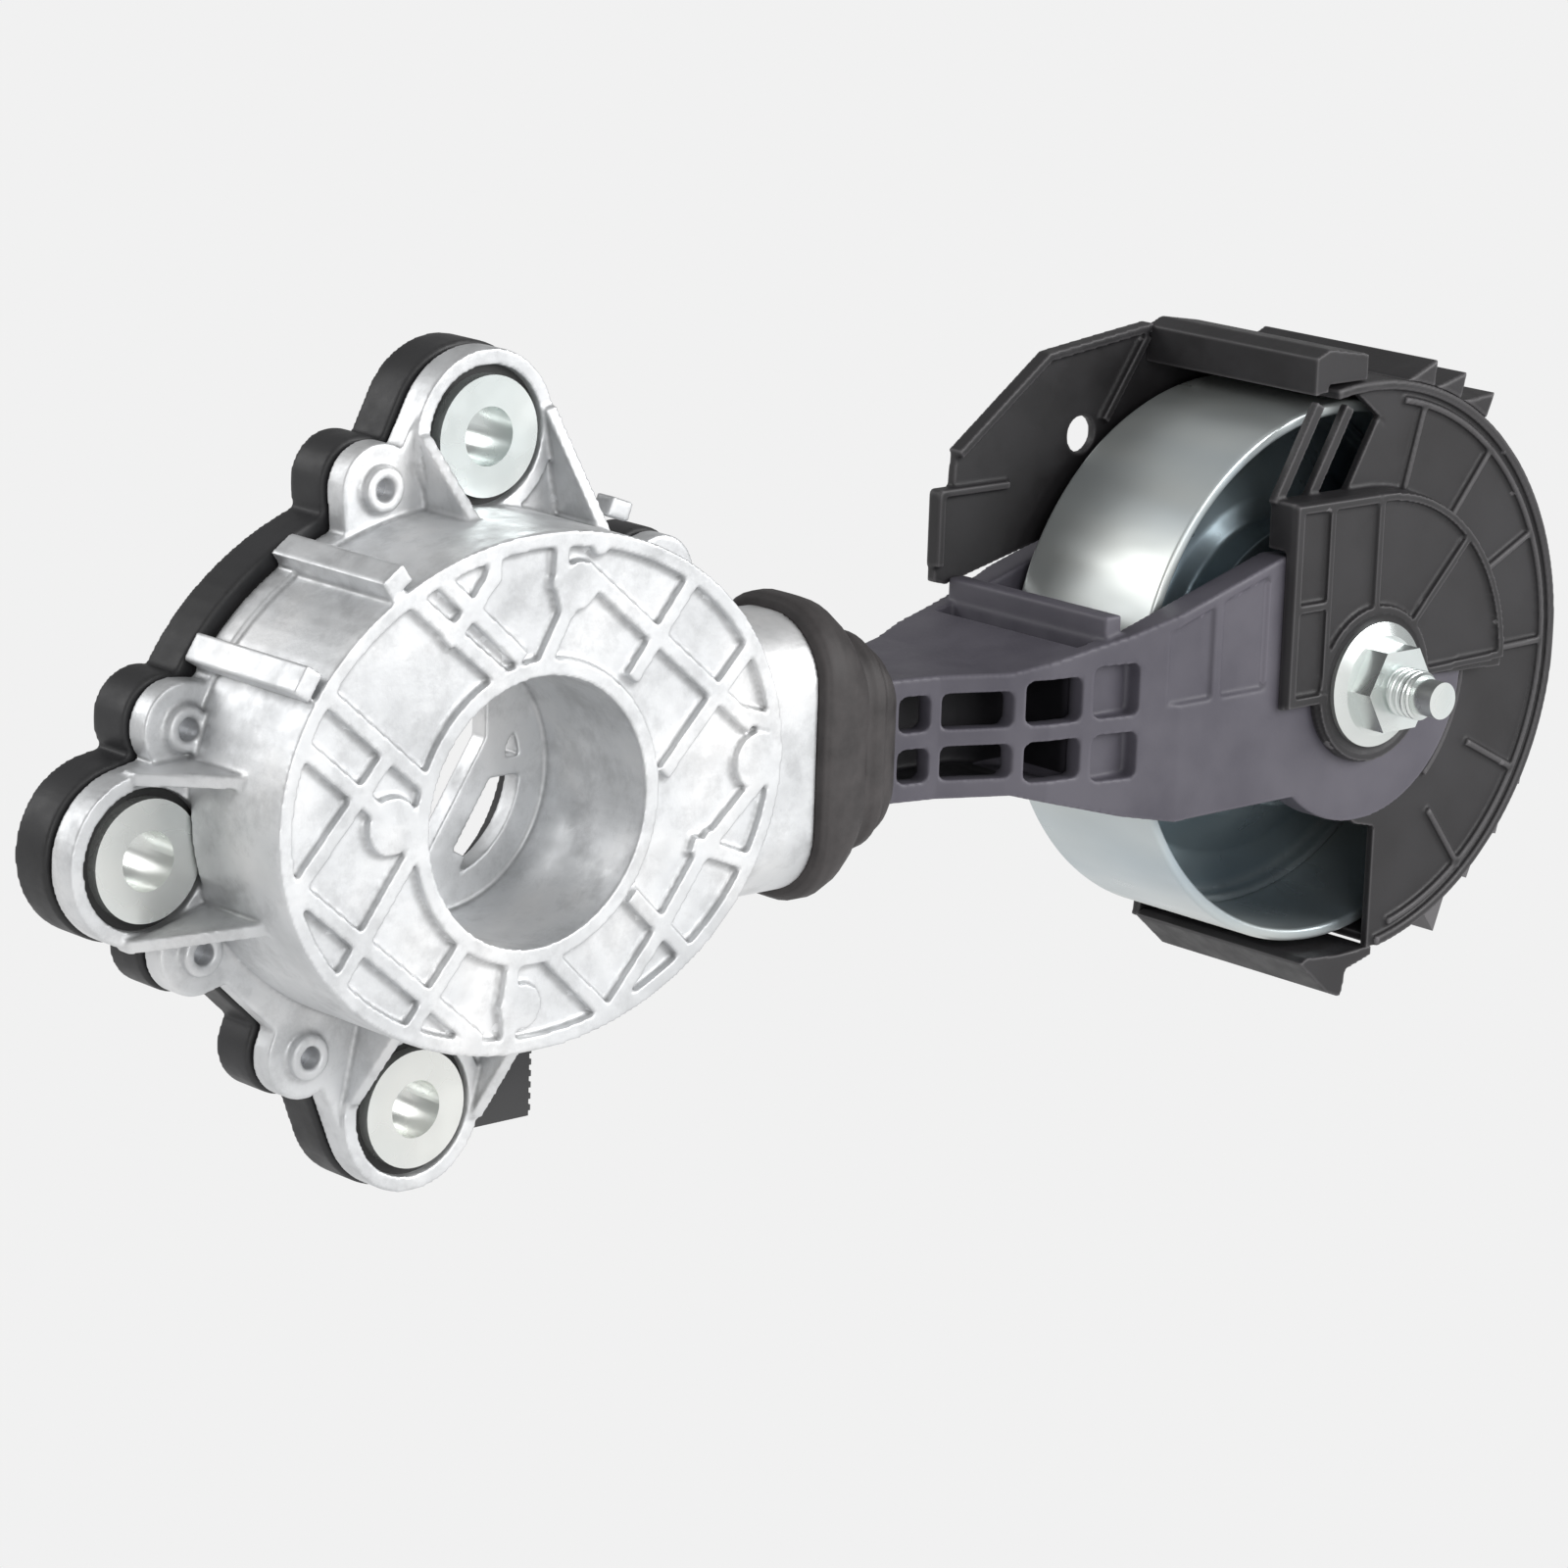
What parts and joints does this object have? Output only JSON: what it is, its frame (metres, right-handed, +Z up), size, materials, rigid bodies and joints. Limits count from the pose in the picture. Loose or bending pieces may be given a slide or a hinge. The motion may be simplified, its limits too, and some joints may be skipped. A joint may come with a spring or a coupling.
{
  "type": "belt tensioner idler",
  "caption": "Sprung idler unit: ribbed cast housing with an open hub bore and mounting ears, a sliding forked arm in a rubber boot, and a wide plated wheel under a black guard.",
  "frame": {"origin": "centre of the hub bore's mouth, in the plane of the housing's face", "axes": "+X from the bore's axis to the wheel's axis, +Y along both axes into the engine, +Z up"},
  "size_m": [0.2785, 0.0691, 0.1259],
  "materials": {
    "cast": "bright as-cast aluminium",
    "cover_black": "black moulded plastic",
    "seal_rubber": "black rubber",
    "boot_rubber": "dusty dark grey rubber",
    "zinc": "zinc-plated steel, pale",
    "wheel_zinc": "zinc-plated steel, faint green and cream tint",
    "steel": "plain steel",
    "liner": "natural plastic",
    "bronze": "sintered bronze",
    "contact_brass": "bright brass",
    "arm_plastic": "dark grey-violet glass-filled plastic",
    "guard_plastic": "near-black moulded plastic",
    "connector_black": "black moulded plastic",
    "yoke_metal": "grey die casting",
    "cage_plastic": "natural brown plastic"
  },
  "bodies": {
    "base": {"housing": "cast", "rear_cover": "cover_black", "cover_seal": "seal_rubber", "cover_screws": "steel", "mounting_sleeves": "zinc", "sleeve_grommets": "seal_rubber", "connector_shell": "connector_black", "connector_pins": "contact_brass", "nozzle_liner": "liner", "boot": "boot_rubber", "guide_pins": "steel", "spring_seats": "steel", "tension_springs": "steel", "actuator_motor": "steel", "motor_bracket": "cover_black"},
    "arm": {"arm": "arm_plastic", "slide_yoke": "yoke_metal", "yoke_bushes": "bronze", "yoke_pins": "steel", "spindle_nut": "bronze", "cheek_bushes": "steel", "axle_bolt": "zinc", "flange_nut": "zinc", "spacer_front": "steel", "spacer_rear": "steel", "bearing_inner_ring": "steel", "guard_front": "guard_plastic", "guard_rear": "guard_plastic", "guard_bridge": "guard_plastic", "guard_lip": "guard_plastic", "guard_clips": "guard_plastic"},
    "screw": {"lead_screw": "steel"},
    "cage": {"bearing_balls": "steel", "bearing_cage": "cage_plastic"},
    "wheel": {"wheel_rim": "wheel_zinc", "wheel_hub": "wheel_zinc", "bearing_outer_ring": "steel", "bearing_seals": "seal_rubber"}
  },
  "joints": [
    {"name": "arm_slide", "type": "slide", "parent": "base", "child": "arm", "axis": [1, 0, 0], "range_m": [-0.006, 0], "stiffness_N_per_m": 3000, "springref_m": 0.004, "deforming": ["boot", "tension_springs"]},
    {"name": "screw_turn", "type": "hinge", "parent": "base", "child": "screw", "pos_m": [0.01, 0.0206, 0.03], "axis": [1, 0, 0], "range_deg": [-5, 1085]},
    {"name": "wheel_spin", "type": "hinge", "parent": "arm", "child": "wheel", "pos_m": [0.1643, 0.0135, 0], "axis": [0, 1, 0], "continuous": true},
    {"name": "cage_spin", "type": "hinge", "parent": "arm", "child": "cage", "pos_m": [0.1643, 0.0135, 0], "axis": [0, 1, 0], "continuous": true}
  ],
  "couplings": [
    {"joint": "screw_turn", "follows": "arm_slide", "rad_per_m": -3141.6},
    {"joint": "cage_spin", "follows": "wheel_spin", "ratio": 0.61837}
  ]
}
